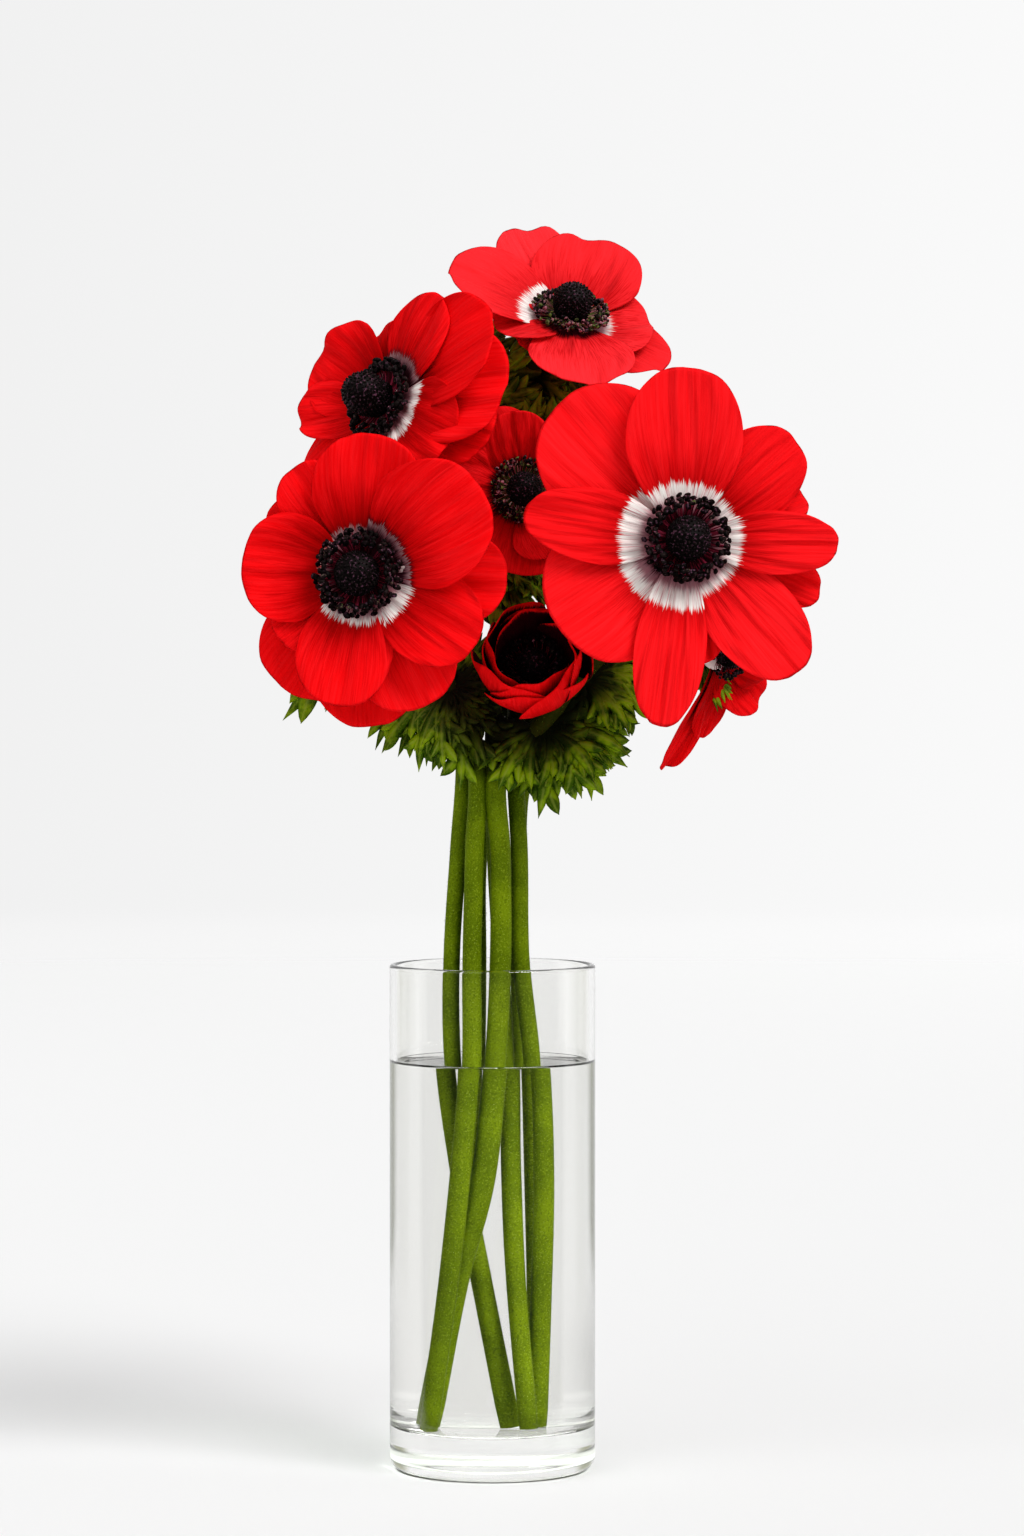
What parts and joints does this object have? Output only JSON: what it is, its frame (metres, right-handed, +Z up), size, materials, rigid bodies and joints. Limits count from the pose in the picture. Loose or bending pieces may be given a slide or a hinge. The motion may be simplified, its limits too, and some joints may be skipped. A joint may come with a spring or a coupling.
{
  "type": "vase of anemone flowers",
  "caption": "Bunch of red anemones with black centres, frilled leaves and bent stems, standing in a straight clear glass vase of water.",
  "frame": {"origin": "middle of the vase's bottom face, on the surface that it stands on", "axes": "+Z up along the vase's axis, -Y towards the viewer of the picture, +X to the right"},
  "size_m": [0.2147, 0.1203, 0.4637],
  "materials": {
    "glass": "clear, polished",
    "water": "clear, still",
    "petal": "satin, finely veined",
    "centre": "velvety, granular",
    "green": "matt, finely haired"
  },
  "bodies": {
    "root": {"vase": "glass", "water": "water", "right_petals": "petal", "right_centre": "centre", "right_stem": "green", "lower_left_petals": "petal", "lower_left_centre": "centre", "lower_left_stem": "green", "upper_left_petals": "petal", "upper_left_centre": "centre", "upper_left_stem": "green", "top_petals": "petal", "top_centre": "centre", "top_stem": "green", "middle_petals": "petal", "middle_centre": "centre", "middle_stem": "green", "cup_petals": "petal", "cup_centre": "centre", "cup_stem": "green", "back_right_petals": "petal", "back_right_centre": "centre", "back_right_stem": "green"}
  },
  "joints": []
}
